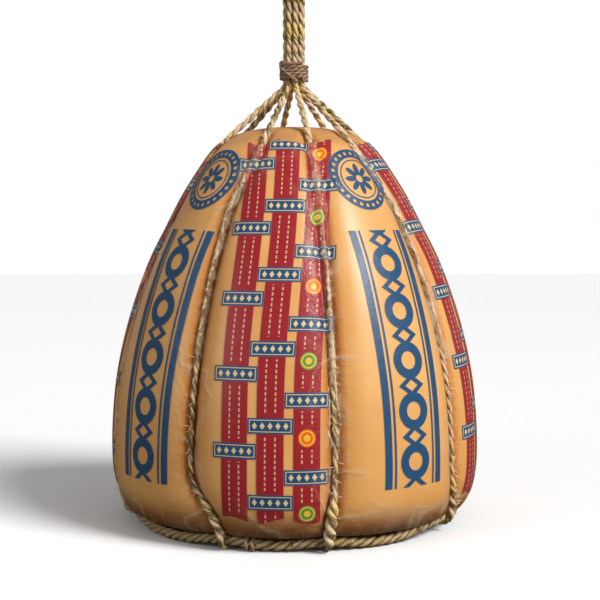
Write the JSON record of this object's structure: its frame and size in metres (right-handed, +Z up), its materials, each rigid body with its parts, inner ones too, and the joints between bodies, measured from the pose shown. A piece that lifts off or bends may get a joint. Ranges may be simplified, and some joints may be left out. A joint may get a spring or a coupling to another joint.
{
  "type": "hanging provolone cheese",
  "caption": "Large ribbed, truncated-cone provolone in printed shrink wrap, bound lengthwise in straw cord gathered in a tie and a hanging eye.",
  "frame": {"origin": "middle of the flat underside that the cheese rests on", "axes": "+Z up through the tie and the hanging eye, -Y to the front that the picture shows, +X to its right"},
  "size_m": [0.3633, 0.3631, 0.5859],
  "materials": {
    "wrapped_cheese": "golden cheese rind under clear, satin shrink film with a red, blue and cream print",
    "straw": "dry, twisted marsh-grass cord, straw yellow with olive and brown streaks",
    "twine": "dark brown, matt wound twine"
  },
  "bodies": {
    "root": {"cheese": "wrapped_cheese", "rope_1": "straw", "rope_2": "straw", "rope_3": "straw", "rope_4": "straw", "rope_5": "straw", "rope_6": "straw", "rope_7": "straw", "rope_8": "straw", "foot_ring": "straw", "tie": "twine", "top_whipping": "twine", "hang_cord_1": "straw", "hang_cord_2": "straw", "hang_cord_3": "straw", "hang_cord_4": "straw", "hang_cord_5": "straw", "hang_cord_6": "straw", "hang_eye": "straw"}
  },
  "joints": []
}
